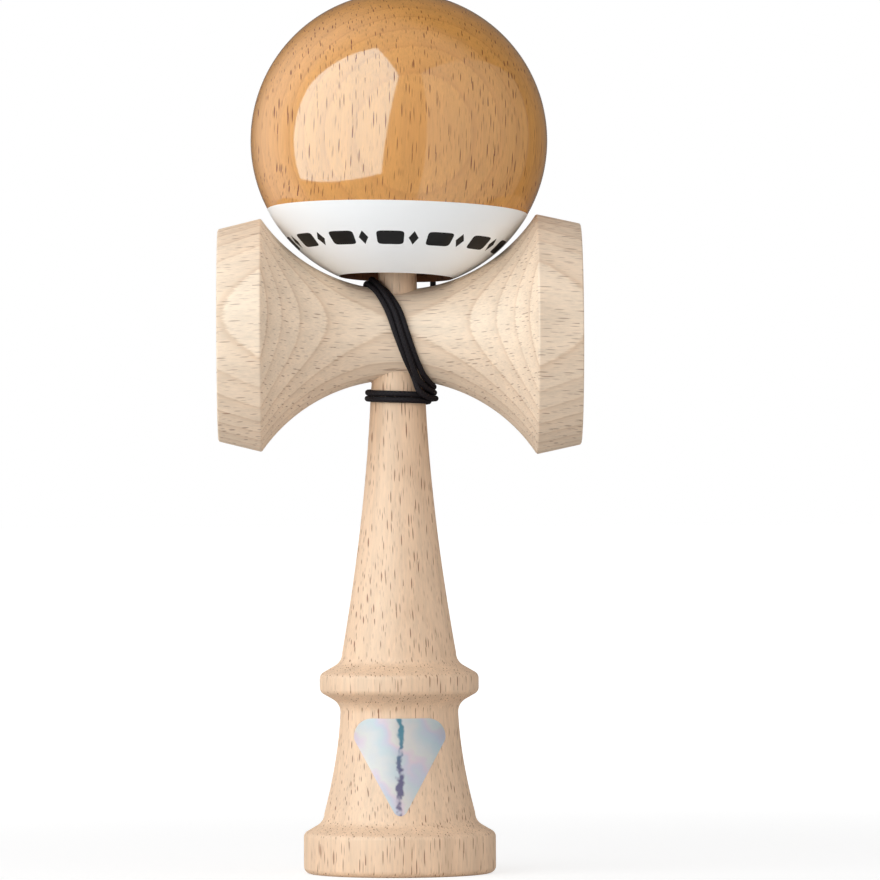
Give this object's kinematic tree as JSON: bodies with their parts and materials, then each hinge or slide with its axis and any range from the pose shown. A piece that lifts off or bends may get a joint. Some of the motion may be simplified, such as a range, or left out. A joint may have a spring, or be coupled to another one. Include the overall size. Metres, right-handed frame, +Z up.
{
  "type": "kendama",
  "caption": "Wooden cup-and-ball toy: turned handle with a spike, a cross-piece with two cups, and a drilled lacquered ball on a cord.",
  "frame": {"origin": "middle of the foot, on the surface that it stands on", "axes": "+Z up along the handle, +X towards the big cup, +Y to the back"},
  "size_m": [0.0733, 0.0611, 0.1797],
  "materials": {
    "raw_beech": "fine-sanded, bare, with a faint sheen",
    "lacquered_beech": "thick clear gloss lacquer; the lower cap is white gloss paint",
    "bead": "satin",
    "string": "braided black cord, matt",
    "foil": "iridescent silver foil"
  },
  "bodies": {
    "ken": {"ken": "raw_beech", "sarado": "raw_beech", "base_label": "foil", "string_winding": "string", "string_in_ken": "string", "ken_knot": "string"},
    "string_lead": {"string_lead": "string"},
    "tama_bead": {"tama_bead": "bead", "tama_knot": "string", "string_in_tama": "string"},
    "tama": {"tama": "lacquered_beech"}
  },
  "joints": [
    {"name": "tama_rock", "type": "hinge", "parent": "ken", "child": "string_lead", "pos_m": [-0.0003, 0, 0.12033], "axis": [1, 0, 0], "range_deg": [-4.5, 11.5], "deforming": ["string_lead"]},
    {"name": "tama_lift", "type": "slide", "parent": "string_lead", "child": "tama_bead", "axis": [0, 0, 1], "range_m": [0, 0.06], "deforming": ["string_lead"]},
    {"name": "tama_spin", "type": "hinge", "parent": "tama_bead", "child": "tama", "pos_m": [0.00042, 0.00169, 0.14798], "axis": [0.0261, 0.061, 0.9978], "continuous": true}
  ]
}
